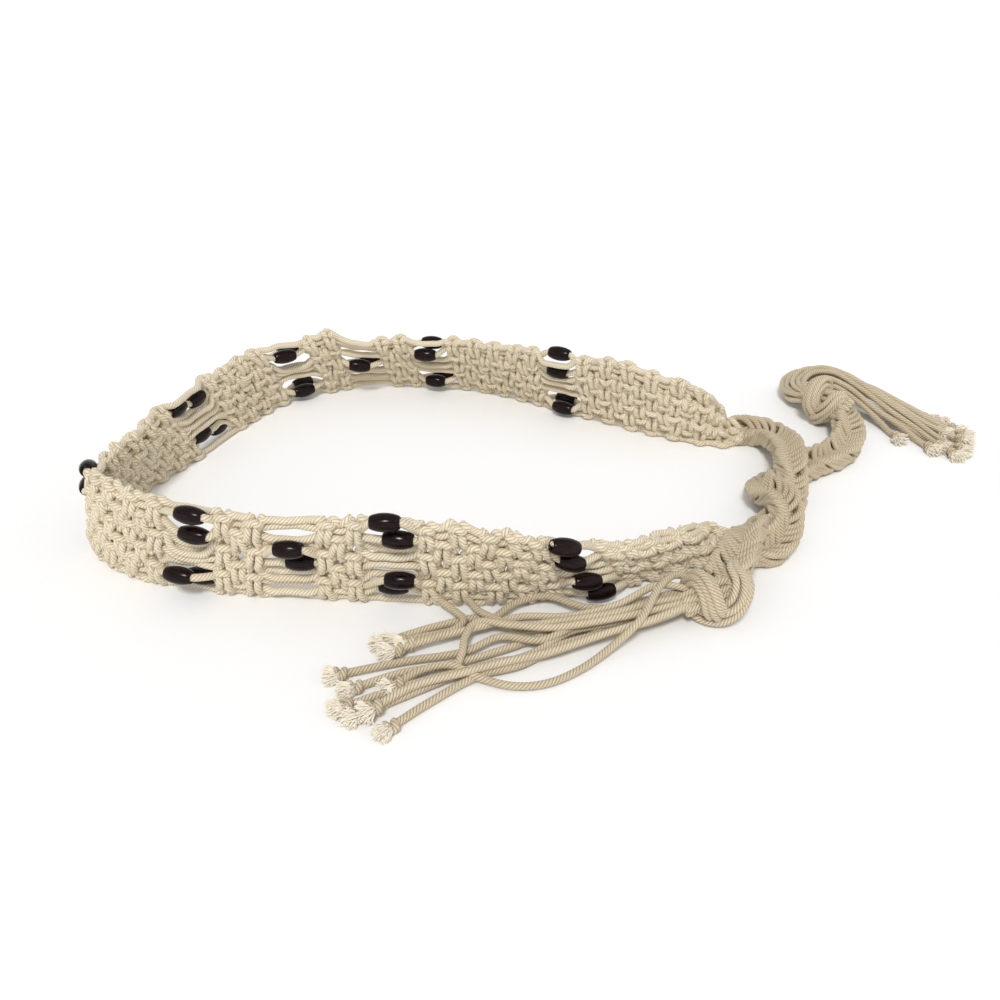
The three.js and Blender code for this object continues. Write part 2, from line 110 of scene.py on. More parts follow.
# The plaits' routes through their half knot: x, y, z and roll in degrees
BACK_ROUTE = [(112, 431.5, 5, -25), (120, 432.5, 5.4, -20), (127.5, 427.5, 6.6, -5), (131, 415, 9.4, 0),
              (130.5, 400, 12.8, 0), (127.5, 386, 14.6, 10), (125, 370, 10, 42), (117.5, 354, 5.4, 10),
              (106, 344, 6.6, -38), (96.5, 329, 12.4, -25), (91, 315, 15.4, -5), (85, 304, 14.5, 0),
              (81, 297, 13, 0)]
FRONT_ROUTE = [(165, 452, 11, 30), (169, 444.5, 9.5, 30), (168.5, 432.5, 7, 25), (164, 420, 5.6, 10),
               (155, 409, 5.2, 0), (142, 400.5, 5, 0), (128.5, 388.5, 4.9, -10), (115.5, 379.5, 7, -40),
               (112.5, 367, 11, -30), (116.5, 354, 14.2, 0), (115.5, 341, 9.4, 40), (107, 330, 5.4, 15),
               (95, 329, 5, 0)]

# Tassel cords from the knot to the tip
FRONT_CORDS = [
    [(63, 296, 8), (47, 291, 6), (31, 292, 5), (17, 299, 5), (6, 296, 4), (-4, 286, 3.5),
     (-20, 281, 2), (-38, 276, 2)],
    [(61, 292, 9), (43, 287, 7), (27, 280, 6), (14, 273, 5), (0, 276, 4), (-12, 270, 2.5),
     (-34, 265, 2), (-56, 258, 2)],
    [(60, 289, 7), (41, 283, 5), (25, 279, 4), (10, 267, 3.5), (-13, 259, 3), (-33, 252, 2), (-52, 242, 2)],
    [(57, 284, 6), (39, 279, 4), (21, 273, 3), (7, 263, 2.5), (-7, 258, 2), (-24, 244, 2), (-36, 232, 2)],
    [(66, 301, 13), (58, 293, 14), (49, 278, 10), (39, 271, 4), (27, 261, 2), (15, 254, 2),
     (4, 253, 2), (-7, 256, 3), (-17, 260, 5), (-27, 258, 4), (-36, 251, 2.5)],
    [(55, 298, 4), (36, 292, 3), (22, 287, 3), (7, 282, 3), (-4, 290, 2), (-22, 285, 2), (-42, 275, 2)],
    [(58, 289, 10), (39, 283, 9), (21, 280, 8), (7, 279, 7), (-7, 289, 5), (-14, 300, 4.4), (-22, 298, 4.4),
     (-17, 291, 4.6), (-13, 284, 5), (-20, 276, 5), (-34, 272, 4)],
    [(55, 285, 9), (35, 280, 8), (18, 277, 7.5), (4, 279, 7), (-8, 282, 6), (-12, 275, 5.5),
     (-13, 266, 5), (-16, 256, 2.4)],
    [(59, 293, 3), (38, 286, 2.4), (20, 281, 2.4), (2, 272, 2), (-16, 264, 2), (-34, 259, 2), (-50, 251, 2)],
    [(56, 287, 3), (36, 281, 2.4), (16, 269, 2.2), (-4, 264, 2), (-20, 255, 2), (-36, 245, 2), (-47, 238, 2)],
    [(58, 296, 12), (42, 288, 9), (24, 284, 7), (8, 285, 6), (-6, 281, 5), (-22, 275, 4.6), (-38, 268, 4)],
    [(54, 281, 8), (36, 275, 6), (18, 267, 5), (2, 262, 4.6), (-14, 256, 4.4), (-28, 250, 4.6),
     (-42, 239, 4)],
]
BACK_CORDS = [
    [(152.2, 475, 5), (153.2, 486, 4), (158, 489, 7), (164, 485, 11), (176, 476, 13), (190, 471, 11),
     (203, 461, 7), (215, 448, 4), (225, 439, 2)],
    [(151.1, 472, 8), (151.1, 483, 7), (154.9, 488, 10), (163, 484, 14), (176, 474, 15), (190, 467, 12),
     (204, 456, 7), (215, 443, 4), (226, 432, 2.4)],
    [(152.2, 470, 11), (153.2, 480, 11), (158, 483, 15), (170, 476, 18), (184, 466, 15), (198, 454, 9),
     (209, 442, 5), (223, 426, 2.5)],
    [(153.2, 469, 13), (156, 477, 14), (165, 479, 18), (177, 470, 18), (190, 458, 12), (203, 443, 6.5),
     (211, 430, 3.4), (219, 417, 2.4)],
    [(154.9, 468, 14), (161, 475, 17), (171, 473, 18), (182, 463, 14), (194, 449, 8), (204, 436, 4),
     (209, 424, 2.4), (214, 413, 2)],
    [(150.5, 468, 5), (149.9, 478, 3), (153.2, 489, 3), (161, 491, 6), (173, 483, 8), (187, 475, 7),
     (199, 466, 4), (216, 451, 2)],
    [(158, 467, 14), (166, 471, 16), (176, 465, 14), (187, 452, 8), (197, 439, 4), (201, 430, 2.4),
     (205, 419, 2)],
    [(149.4, 470, 8), (148.3, 480, 6), (152.2, 491, 7), (160, 493, 10), (174, 485, 11), (190, 475, 9),
     (203, 465, 5), (220, 448, 2)],
    [(161, 465, 12), (170, 467, 13), (180, 458, 9), (188, 447, 4), (191, 438, 2), (193, 430, 2)],
    [(152.7, 473, 3), (154.3, 483, 2), (162, 487, 4), (172, 480, 8), (185, 472, 8), (196, 464, 5),
     (210, 450, 2)],
    [(154.3, 471, 9), (158, 480, 10), (166, 480, 14), (178, 472, 14), (192, 461, 9), (203, 450, 4.6),
     (217, 435, 2.4)],
    [(156, 469, 10), (163, 473, 12), (174, 467, 11), (186, 456, 7), (198, 443, 4), (206, 432, 2),
     (211, 421, 2)],
]
# The knots at the plaits' ends: middle, way out to the tassel, size, and the bundle's route as
# places along that way, to its near side and up
KNOT_ROUTE = [(-13, -11, 3), (-10, -4, 6), (-9.5, 4, 4.5), (-6.5, 8.3, -2), (-1, 6.5, -7), (4.5, 0, -7.6),
              (6, -7.3, -2), (5, -6, 5), (4, 0, 8.4), (3.5, 6.6, 5.5), (2.5, 8.6, -1),
              (-0.5, 5.4, -5), (-4.5, 1, -3), (-5, -1, 1), (-1, -0.5, 1), (5, 0, 0), (13, 0.5, -1.5)]
FRONT_KNOT = dict(centre=(77.5, 293.5, 9.6), way=(-0.95, -0.25, -0.1), size=0.74, route=KNOT_ROUTE)
BACK_KNOT = dict(centre=(163, 454, 11.2), way=(-0.62, 0.78, -0.1), size=0.86,
                 route=[(-14, 0, -1), (-9.5, 2.5, 3)] + KNOT_ROUTE[2:])


# Curves
def catmull(points, steps=12):
    """A centripetal curve through points whose first columns are a place; the rest ride along"""
    points = np.asarray(points, float)
    k = min(points.shape[1], 3)
    out = []
    last = len(points) - 1
    for i in range(last):
        p1, p2 = points[i], points[i + 1]
        p0 = points[i - 1] if i else 2 * p1 - p2
        p3 = points[i + 2] if i + 2 <= last else 2 * p2 - p1
        d01, d12, d23 = (max(math.sqrt(np.linalg.norm((b - a)[:k])), 1e-6)
                         for a, b in ((p0, p1), (p1, p2), (p2, p3)))
        m1 = ((p1 - p0) / d01 - (p2 - p0) / (d01 + d12) + (p2 - p1) / d12) * d12
        m2 = ((p2 - p1) / d12 - (p3 - p1) / (d12 + d23) + (p3 - p2) / d23) * d12
        t = np.linspace(0, 1, steps, endpoint=False)[:, None]
        cubic, square = 2 * p1 - 2 * p2 + m1 + m2, 3 * (p2 - p1) - 2 * m1 - m2
        out.append(cubic * t ** 3 + square * t ** 2 + m1 * t + p1)
    return np.vstack(out + [points[-1:]])


def smooth(x, low, high):
    """From 0 at low to 1 at high, level at both ends"""
    t = np.clip((x - low) / (high - low), 0, 1)
    return t * t * (3 - 2 * t)


def resample(path, count):
    """The same path in that many points, evenly spaced"""
    s = np.r_[0, np.cumsum(np.linalg.norm(np.diff(path, axis=0), axis=1))]
    u = np.linspace(0, s[-1], count)
    return np.stack([np.interp(u, s, path[:, k]) for k in range(3)], 1)


def unit(v):
    """Vectors of length one"""
    return v / np.maximum(np.linalg.norm(v, axis=-1, keepdims=True), 1e-9)


class Band:
    """Places on the band: along its lower edge, up its width, and out from its inner face"""

    def __init__(self, rows, steps=24):
        edge = catmull(rows[:, :2], steps)
        height = np.sqrt(rows[:, 4] ** 2 - rows[:, 2] ** 2 - rows[:, 3] ** 2)
        tips = np.stack([rows[:, 2], rows[:, 3], height], 1)
        t = np.linspace(0, 1, steps, endpoint=False)[:, None]
        t = t * t * (3 - 2 * t)
        across = [tips[i] * (1 - t) + tips[i + 1] * t for i in range(len(rows) - 1)]
        self.across = np.vstack(across + [tips[-1:]])
        self.point = np.hstack([edge, np.zeros((len(edge), 1))])
        self.s = np.r_[0, np.cumsum(np.linalg.norm(np.diff(self.point, axis=0), axis=1))]
        self.length = self.s[-1]
        onward = unit(np.gradient(self.point, self.s, axis=0))
        self.onward = onward
        self.outward = unit(np.cross(self.across, onward))

    def _read(self, values, s):
        return np.stack([np.interp(s, self.s, values[:, k]) for k in range(3)], -1)

    def at(self, s, up, out):
        """The place at s along, up and out; past either end it goes straight on"""
        s, up, out = np.broadcast_arrays(np.asarray(s, float), np.asarray(up, float), np.asarray(out, float))
        over = s - np.clip(s, 0, self.length)
        across = self._read(self.across, s)
        share = np.linalg.norm(across, axis=-1) / BAND_WIDTH
        out = out + PLEAT_DEPTH * np.clip(1 - share, 0, 1) * np.cos((up / PLEAT_STEP - 0.5) * 2 * np.pi)
        point = self._read(self.point, s) + across / BAND_WIDTH * up[..., None]
        point = point + self._read(self.outward, s) * out[..., None]
        for middle, spread, rise in HUMPS:
            near = np.exp(-((s - middle) / spread) ** 2)
            point[..., 2] += rise * near * np.clip(up / BAND_WIDTH, 0, 1) ** 2
        return point + self._read(self.onward, s) * over[..., None]


# How deep the band pleats where it narrows, and how far apart the pleats are up its width
PLEAT_DEPTH = 3.4
PLEAT_STEP = 14.0
# Where the top edge rises or dips: middle along the band, spread, and rise
HUMPS = [(450, 8, 4.0), (475, 9, -2.0)]
band = Band(BAND_ROWS)


# The band's cords. Cords are counted from 0 at the lower edge to 11 at the top edge.
def cord_up(cord):
    """A cord's place up the band"""
    return CORD_STEP * (cord + 0.5)


# A square knot's cords: along in knot lengths, up from the knot's middle, and out of the band's middle.
# The upper working cord makes two bars on the outer face and a pod on the inner one, and the lower
# working cord does the same the other way round.
HALF_KNOT = [(0.5, 6.1, 0.2), (0.38, 5.9, -0.7), (0.24, 4.4, -0.4), (0.24, 2.2, 1.6), (0.27, -0.4, 2.1),
             (0.33, -2.7, 1.8), (0.47, -4.2, -0.2), (0.3, -4.9, -2.0)]
UPPER_WORKING = [(-a, b, out) for a, b, out in HALF_KNOT] + [(0.0, -5.5, -2.2)] + HALF_KNOT[::-1]
LOWER_WORKING = [(a, -b, -out) for a, b, out in UPPER_WORKING]
CORE_CORD = [(-0.38, 1.8, 0.0), (0.0, 1.5, -0.2), (0.38, 1.8, 0.0)]
# How far a row's knots stray: lean over half a knot, along and up for the whole knot, and along,
# up and out for each point of its working cords
KNOT_LEAN, KNOT_ALONG, KNOT_UP = 0.6, 0.35, 0.45
POINT_ALONG, POINT_UP, POINT_OUT = 0.24, 0.28, 0.24
# The knots' middles up the band in rows of three and of two
THREE_KNOTS = (7, 21, 35)
TWO_KNOTS = (14, 28)
# The cords beside a row of two knots, how far each runs outward of its place, and how far it strays
IDLE_CORDS = {0: -0.2, 1: -0.3, 10: -0.3, 11: -0.2}
IDLE_UP, IDLE_OUT = 0.3, 0.4


def knot_row(paths, middle, pitch, three):
    """One row of square knots, three over all the cords or two over the eight inner ones"""
    first, centres = (0, THREE_KNOTS) if three else (2, TWO_KNOTS)
    for k, centre in enumerate(centres):
        low = first + 4 * k
        lean, shift, lift = rng.normal(0, KNOT_LEAN), rng.normal(0, KNOT_ALONG), rng.normal(0, KNOT_UP)
        for cord, shape in ((low, LOWER_WORKING), (low + 3, UPPER_WORKING)):
            for a, b, out in shape:
                along = rng.normal(0, POINT_ALONG)
                off = rng.normal(0, POINT_UP)
                depth = rng.normal(0, POINT_OUT)
                paths[cord].append((middle + a * pitch + shift + lean * b / 6 + along,
                                    centre + b + lift + off, MID_OUT + out + depth))
        for cord, side in ((low + 1, -1), (low + 2, 1)):
            for a, b, out in CORE_CORD:
                paths[cord].append((middle + a * pitch + shift, centre + side * b + lift, MID_OUT + out))
    if not three:
        for cord, outward in IDLE_CORDS.items():
            up = cord_up(cord) + (-outward if cord < CORDS / 2 else outward)
            paths[cord].append((middle, up + rng.normal(0, IDLE_UP), MID_OUT + rng.normal(0, IDLE_OUT)))


# The cords that run through a stretch's upper, lower and middle beads
UPPER_BEAD_CORDS = (10, 9)
LOWER_BEAD_CORDS = (2, 1)
MIDDLE_BEAD_CORDS = (6, 5)
# How far past a bead's middle its cord runs straight
BEAD_REACH = 5.2
# How far cords move up or down out of the way of a pair of beads: the four inner ones and the rest
PAIR_INNER, PAIR_OUTER = 1.2, 0.3
# How far out odd and even cords lie, with a pair of beads and with four
PAIR_LAYERS = (0, 1.6)
FOUR_LAYERS = (-0.6, 1.5)
# How far a loose cord's bow and each of its points stray, and where those points are
BOW_NOISE, LOOSE_NOISE = 0.6, 0.25
LOOSE_POINTS = (-0.62, -0.2, 0.25, 0.62)


def threads(stretch):
    """Which cord each bead is threaded on, and the beads on it in order"""
    beads = stretch["beads"]
    if len(beads) == 2:
        return {cord: [bead] for cord, bead in zip(MIDDLE_BEAD_CORDS, beads)}
    upper, lower = beads[:2], beads[2:]
    if stretch.get("shared"):
        return {UPPER_BEAD_CORDS[0]: upper, LOWER_BEAD_CORDS[0]: lower}
    found = {}
    for bead_cords, pair in ((UPPER_BEAD_CORDS, upper), (LOWER_BEAD_CORDS, lower)):
        for cord, bead in zip(bead_cords, sorted(pair, key=lambda bead: -bead[1])):
            found[cord] = [bead]
    return found


def loose_stretch(paths, stretch):
    """Cords running free between two blocks of knots, some of them through beads"""
    at, half = stretch["at"], stretch["half"]
    squeeze, shift, mid_out = stretch["mid"]
    threaded = threads(stretch)
    pair = len(stretch["beads"]) == 2
    for cord in range(CORDS):
        up = cord_up(cord)
        if cord in threaded:
            for along, bead_up, out in threaded[cord]:
                for step in (-BEAD_REACH, 0, BEAD_REACH):
                    paths[cord].append((at + along + step, bead_up, out))
            continue
        if cord in (0, CORDS - 1):
            up, out = stretch["low"] if cord == 0 else stretch["high"]
        elif pair:
            away = -1 if cord < CORDS / 2 else 1
            up += away * (PAIR_INNER if cord in (4, 5, 6, 7) else PAIR_OUTER)
            out = mid_out + PAIR_LAYERS[cord % 2]
        else:
            up = BAND_WIDTH / 2 + (up - BAND_WIDTH / 2) * squeeze + shift
            out = mid_out + FOUR_LAYERS[cord % 2]
        bow = rng.normal(0, BOW_NOISE) + stretch.get("bows", {}).get(cord, 0)
        for share in LOOSE_POINTS:
            belly = 1 - share ** 2
            paths[cord].append((at + share * half, up + bow * belly, out + rng.normal(0, LOOSE_NOISE)))


def band_cords():
    """All the cords' paths on the band"""
    paths = [[] for _ in range(CORDS)]
    start, rows = 0.0, ROWS_BEFORE_FIRST
    for stretch in STRETCHES + [None]:
        end = stretch["at"] - stretch["half"] if stretch else band.length
        pitch = (end - start) / rows
        for row in range(rows):
            knot_row(paths, start + (row + 0.5) * pitch, pitch, row % 2 == 0)
        if stretch:
            loose_stretch(paths, stretch)
            start, rows = stretch["at"] + stretch["half"], stretch["rows"]
    out = []
    for path in paths:
        fine = catmull(np.array(path), 6)
        points = band.at(fine[:, 0], fine[:, 1], fine[:, 2])
        points[:, 2] = np.maximum(points[:, 2], KNOTTED + OFF_FLOOR)
        out.append(points)
    return out


# Meshes
def make_mesh(name, verts, faces, uvs, tint):
    """A smooth mesh from quads; verts in millimetres of the tables"""
    mesh = bpy.data.meshes.new(name)
    verts = (np.asarray(verts, float) - MIDDLE) * MM
    mesh.vertices.add(len(verts))
    mesh.vertices.foreach_set("co", verts.ravel())
    count = len(faces)
    mesh.loops.add(4 * count)
    mesh.loops.foreach_set("vertex_index", np.asarray(faces, np.int32).ravel())
    mesh.polygons.add(count)
    mesh.polygons.foreach_set("loop_start", np.arange(0, 4 * count, 4, dtype=np.int32))
    mesh.polygons.foreach_set("loop_total", np.full(count, 4, np.int32))
    mesh.polygons.foreach_set("use_smooth", np.ones(count, bool))
    mesh.update(calc_edges=True)
    layer = mesh.uv_layers.new(name="UVMap")
    layer.data.foreach_set("uv", np.asarray(uvs, float).ravel())
    attribute = mesh.attributes.new("tint", "FLOAT", "POINT")
    attribute.data.foreach_set("value", np.asarray(tint, float))
    mesh.validate()
    obj = bpy.data.objects.new(name, mesh)
    bpy.context.collection.objects.link(obj)
    return obj


# How far the twist moves on from one cord to the next
TWIST_SHIFT = 7.3


def ropes(paths, radius=CORD / 2, sides=8, step=0.95):
    """Round cords through paths, all with the same number of rings: verts, quads, uvs, tints"""
    longest = max(np.linalg.norm(np.diff(p, axis=0), axis=1).sum() for p in paths)
    n = max(int(longest / step), 6)
    P = np.stack([resample(p, n) for p in paths])
    T = unit(np.gradient(P, axis=1))
    N = np.empty_like(P)
    side = np.cross(T[:, 0], UP)
    side[np.linalg.norm(side, axis=1) < 0.1] = (1, 0, 0)
    N[:, 0] = unit(side - T[:, 0] * (side * T[:, 0]).sum(1, keepdims=True))
    for i in range(1, n):
        v = N[:, i - 1]
        N[:, i] = unit(v - T[:, i] * (v * T[:, i]).sum(1, keepdims=True))
    B = np.cross(T, N)
    angle = np.arange(sides) / sides * 2 * np.pi
    scale = np.ones(n)
    scale[[0, -1]] = 0.05
    scale[[1, -2]] = 0.8
    across, upward = np.cos(angle)[None, None, :, None], np.sin(angle)[None, None, :, None]
    ring = across * N[:, :, None] + upward * B[:, :, None]
    verts = P[:, :, None] + ring * (radius * scale)[None, :, None, None]
    length = np.cumsum(np.linalg.norm(np.diff(P, axis=1, prepend=P[:, :1]), axis=2), axis=1)
    faces, uvs = [], []
    i, j = np.meshgrid(np.arange(n - 1), np.arange(sides), indexing="ij")
    a = i * sides + j
    b = i * sides + (j + 1) % sides
    quad = np.stack([a, b, b + sides, a + sides], -1).reshape(-1, 4)
    u0, u1 = j / sides, (j + 1) / sides
    for k in range(len(P)):
        faces.append(quad + k * n * sides)
        v = length[k] + TWIST_SHIFT * k
        low, high = v[i], v[i + 1]
        uvs.append(np.stack([u0, low, u1, low, u1, high, u0, high], -1).reshape(-1, 8))
    tints = np.repeat(rng.uniform(0, 1, len(P)), n * sides)
    return verts.reshape(-1, 3), np.vstack(faces), np.vstack(uvs), tints


def join(parts):
    """Several sets of verts, quads, uvs and tints as one"""
    verts, faces, uvs, tints, base = [], [], [], [], 0
    for v, f, u, t in parts:
        verts.append(v)
        faces.append(f + base)
        uvs.append(u)
        tints.append(t)
        base += len(v)
    return np.vstack(verts), np.vstack(faces), np.vstack(uvs), np.concatenate(tints)


def add_piece(name, parts, material, slot, *nodes, painted_shade=0.0):
    """One piece of the belt, which takes the place of its plain solids"""
    verts, faces, uvs, tints = join(parts)
    # The tints are lowered by the given amount, which darkens the piece's colour as painted shade
    obj = make_mesh(name, verts, faces, uvs, tints - painted_shade)
    obj.data.materials.append(material)
    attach(obj, "root")
    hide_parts(*nodes)


# Materials
def node(tree, kind, **values):
    """A new shader node with its settings"""
    made = tree.nodes.new(kind)
    for key, value in values.items():
        setattr(made, key, value)
    return made


def math_node(tree, operation, a, b=None):
    """The result of a sum on two values, each a number or another node's result"""
    made = node(tree, "ShaderNodeMath", operation=operation)
    for i, value in enumerate((a, b)):
        if value is None:
            continue
        if isinstance(value, (int, float)):
            made.inputs[i].default_value = value
        else:
            tree.links.new(value, made.inputs[i])
    return made.outputs[0]


# The cord's plies: how far apart they lie along it, and how many there are
PLY_PITCH = 1.36
PLIES = 5


def cotton_material():
    """Twisted cotton cord: plies wound round it as ridges, soft fibres, and painted shade that darkens the
    colour in the grooves
    """
    material = bpy.data.materials.new("cotton")
    material.use_nodes = True
    tree = material.node_tree
    tree.nodes.clear()
    out = node(tree, "ShaderNodeOutputMaterial")
    shader = node(tree, "ShaderNodeBsdfPrincipled")
    tree.links.new(shader.outputs[0], out.inputs[0])
    shader.inputs["Roughness"].default_value = 0.92
    shader.inputs["Specular IOR Level"].default_value = 0.18
    shader.inputs["Sheen Weight"].default_value = 0.15
    shader.inputs["Sheen Roughness"].default_value = 0.6
    uv = node(tree, "ShaderNodeUVMap")
    parts = node(tree, "ShaderNodeSeparateXYZ")
    tree.links.new(uv.outputs[0], parts.inputs[0])
    around = math_node(tree, "MULTIPLY", parts.outputs[0], float(PLIES))
    along = math_node(tree, "MULTIPLY", parts.outputs[1], 1.0 / PLY_PITCH)
    phase = math_node(tree, "MULTIPLY", math_node(tree, "ADD", around, along), math.pi)
    ridge = math_node(tree, "ABSOLUTE", math_node(tree, "SINE", phase))
    ridge = math_node(tree, "POWER", ridge, 0.6)
    place = node(tree, "ShaderNodeTexCoord")
    fibres = node(tree, "ShaderNodeTexNoise")
    fibres.inputs["Scale"].default_value = 1500.0
    fibres.inputs["Detail"].default_value = 3.0
    tree.links.new(place.outputs["Object"], fibres.inputs["Vector"])
    patches = node(tree, "ShaderNodeTexNoise")
    patches.inputs["Scale"].default_value = 45.0
    patches.inputs["Detail"].default_value = 3.0
    tree.links.new(place.outputs["Object"], patches.inputs["Vector"])
    tint = node(tree, "ShaderNodeAttribute", attribute_name="tint")
    # The ramp's dark end is painted shade for the ply grooves, and its lightest end is for the frayed tips
    ramp = node(tree, "ShaderNodeValToRGB")
    ramp.color_ramp.elements[0].position = 0.0
    ramp.color_ramp.elements[0].color = (0.34, 0.25, 0.135, 1)
    ramp.color_ramp.elements[1].position = 1.0
    ramp.color_ramp.elements[1].color = (0.88, 0.82, 0.70, 1)
    ramp.color_ramp.elements.new(0.69).color = (0.77, 0.675, 0.50, 1)
    # Painted shade: the ridge pattern sets the colour darker in the grooves between plies, with fibres,
    # patches and each cord's tint mixed in
    mixed = math_node(tree, "ADD", math_node(tree, "MULTIPLY", ridge, 0.5),
                      math_node(tree, "MULTIPLY", fibres.outputs[0], 0.3))
    mixed = math_node(tree, "ADD", mixed, math_node(tree, "MULTIPLY", patches.outputs[0], 0.22))
    mixed = math_node(tree, "ADD", mixed, math_node(tree, "MULTIPLY", tint.outputs["Fac"], 0.1))
    mixed = math_node(tree, "SUBTRACT", mixed, 0.1)
    tree.links.new(mixed, ramp.inputs[0])
    tree.links.new(ramp.outputs[0], shader.inputs["Base Color"])
    height = math_node(tree, "ADD", ridge, math_node(tree, "MULTIPLY", fibres.outputs[0], 0.35))
    bump = node(tree, "ShaderNodeBump")
    bump.inputs["Strength"].default_value = 0.8
    bump.inputs["Distance"].default_value = 0.00035
    tree.links.new(height, bump.inputs["Height"])
    tree.links.new(bump.outputs[0], shader.inputs["Normal"])
    return material


def bead_material():
    """Very dark polished wood with a fine grain along the bead"""
    material = bpy.data.materials.new("dark_wood")
    material.use_nodes = True
    tree = material.node_tree
    tree.nodes.clear()
    out = node(tree, "ShaderNodeOutputMaterial")
    shader = node(tree, "ShaderNodeBsdfPrincipled")
    tree.links.new(shader.outputs[0], out.inputs[0])
    shader.inputs["Specular IOR Level"].default_value = 0.16
    uv = node(tree, "ShaderNodeUVMap")
    stretch = node(tree, "ShaderNodeMapping")
    stretch.inputs["Scale"].default_value = (26.0, 0.35, 1.0)
    tree.links.new(uv.outputs[0], stretch.inputs[0])
    grain = node(tree, "ShaderNodeTexNoise")
    grain.inputs["Scale"].default_value = 1.0
    grain.inputs["Detail"].default_value = 5.0
    grain.inputs["Distortion"].default_value = 0.6
    tree.links.new(stretch.outputs[0], grain.inputs["Vector"])
    ramp = node(tree, "ShaderNodeValToRGB")
    ramp.color_ramp.elements[0].position = 0.35
    ramp.color_ramp.elements[0].color = (0.003, 0.002, 0.002, 1)
    ramp.color_ramp.elements[1].position = 0.72
    ramp.color_ramp.elements[1].color = (0.018, 0.007, 0.006, 1)
    tree.links.new(grain.outputs[0], ramp.inputs[0])
    tree.links.new(ramp.outputs[0], shader.inputs["Base Color"])
    rough = node(tree, "ShaderNodeMapRange")
    rough.inputs["To Min"].default_value = 0.1
    rough.inputs["To Max"].default_value = 0.26
    tree.links.new(grain.outputs[0], rough.inputs["Value"])
    tree.links.new(rough.outputs[0], shader.inputs["Roughness"])
    bump = node(tree, "ShaderNodeBump")
    bump.inputs["Strength"].default_value = 0.25
    bump.inputs["Distance"].default_value = 0.0001
    tree.links.new(grain.outputs[0], bump.inputs["Height"])
    tree.links.new(bump.outputs[0], shader.inputs["Normal"])
    return material


COTTON = cotton_material()
WOOD = bead_material()


# Beads: radius and half height from the hole's rim over the shoulder to the widest ring
BEAD_PROFILE = [(1.7, 0.4), (1.62, 4.8), (1.75, 5.25), (2.0, 5.45), (2.3, 5.3), (2.6, 4.75), (2.95, 3.7),
                (3.25, 2.4), (3.4, 1.2), (3.44, 0.0)]
BEAD_SIDES = 24


def bead_mesh(centre, axis):
    """A drilled oval bead with rounded rims"""
    profile = [(r, -h) for r, h in BEAD_PROFILE] + [(r, h) for r, h in reversed(BEAD_PROFILE[:-1])]
    profile = np.array(profile + [profile[0]])
    axis = unit(np.asarray(axis, float))
    side = unit(np.cross(axis, UP))
    rise = np.cross(side, axis)
    spin = rng.uniform(0, 2 * np.pi)
    stretch = 1 + rng.normal(0, 0.02)
    angle = np.arange(BEAD_SIDES) / BEAD_SIDES * 2 * np.pi + spin
    ring = np.cos(angle)[None, :, None] * side + np.sin(angle)[None, :, None] * rise
    verts = centre + profile[:, 1, None, None] * axis * stretch + ring * profile[:, 0, None, None]
    n = len(profile)
    i, j = np.meshgrid(np.arange(n - 1), np.arange(BEAD_SIDES), indexing="ij")
    a = i * BEAD_SIDES + j
    b = i * BEAD_SIDES + (j + 1) % BEAD_SIDES
    faces = np.stack([a, a + BEAD_SIDES, b + BEAD_SIDES, b], -1).reshape(-1, 4)
    low, high = profile[i, 1], profile[i + 1, 1]
    u0, u1 = j / BEAD_SIDES, (j + 1) / BEAD_SIDES
    shift = rng.uniform(0, 40)
    uvs = np.stack([u0, low + shift, u0, high + shift, u1, high + shift, u1, low + shift], -1).reshape(-1, 8)
    return verts.reshape(-1, 3), faces, uvs, np.zeros(n * BEAD_SIDES)


number = 0
for stretch in STRETCHES:
    for along, up, out in stretch["beads"]:
        number += 1
        s = stretch["at"] + along
        centre = band.at(s, up, out)
        way = band.at(s + 4, up, out) - band.at(s - 4, up, out)
        bead = [bead_mesh(centre, way)]
        add_piece(f"wood_bead_{number:02d}", bead, WOOD, "bead_wood", f"bead_{number:02d}")


# Plaits: the length of one full turn of the strands, and how far each swings to either side
PLAIT_LAY = 48.0
PLAIT_SWING = 6.1
# How much narrower and flatter a plait gets inside the half knot, and over what share of its length
PLAIT_PULL = 0.1
PULL_EASE = 0.08
# Each strand's cords: how far each lags in its turn, and its lift over and under the others
STRAND = [(-0.68, 3.0), (-0.23, 2.6), (0.23, 2.6), (0.68, 3.0)]


def plait_cords(route, knotted):
    """Cords in three strands of four that cross over each other along a route"""
    line = catmull(np.array(route, float), 24)
    s = np.r_[0, np.cumsum(np.linalg.norm(np.diff(line[:, :3], axis=0), axis=1))]
    fine = np.linspace(0, s[-1], int(s[-1] / 0.5))
    line = np.stack([np.interp(fine, s, line[:, k]) for k in range(4)], 1)
    tangent = unit(np.gradient(line[:, :3], axis=0))
    side = unit(np.cross(tangent, UP))
    rise = np.cross(side, tangent)
    roll = np.radians(line[:, 3])[:, None]
    across = side * np.cos(roll) + rise * np.sin(roll)
    above = rise * np.cos(roll) - side * np.sin(roll)
    u = fine / fine[-1]
    near = smooth(u, knotted[0] - PULL_EASE, knotted[0]) * (1 - smooth(u, knotted[1], knotted[1] + PULL_EASE))
    pull = 1 - PLAIT_PULL * near
    paths = []
    for strand in range(3):
        theta = 2 * np.pi * (fine / PLAIT_LAY - strand / 3)
        for k, (lag, rise_by) in enumerate(STRAND):
            wobble = 0.25 * np.sin(fine / 5.0 + 2.1 * strand + 1.7 * k)
            turn = theta - lag
            x = 1.2 * PLAIT_SWING * pull * (np.sin(turn) + np.sin(3 * turn) / 6) + wobble
            z = 0.5 * wobble - rise_by * pull * np.sin(2 * turn)
            path = line[:, :3] + across * x[:, None] + above * z[:, None]
            path[:, 2] = np.maximum(path[:, 2], PLAITED + OFF_FLOOR)
            paths.append(path)
    return paths


back_plait = plait_cords(BACK_ROUTE, (0.3, 0.8))
front_plait = plait_cords(FRONT_ROUTE, (0.45, 0.95))


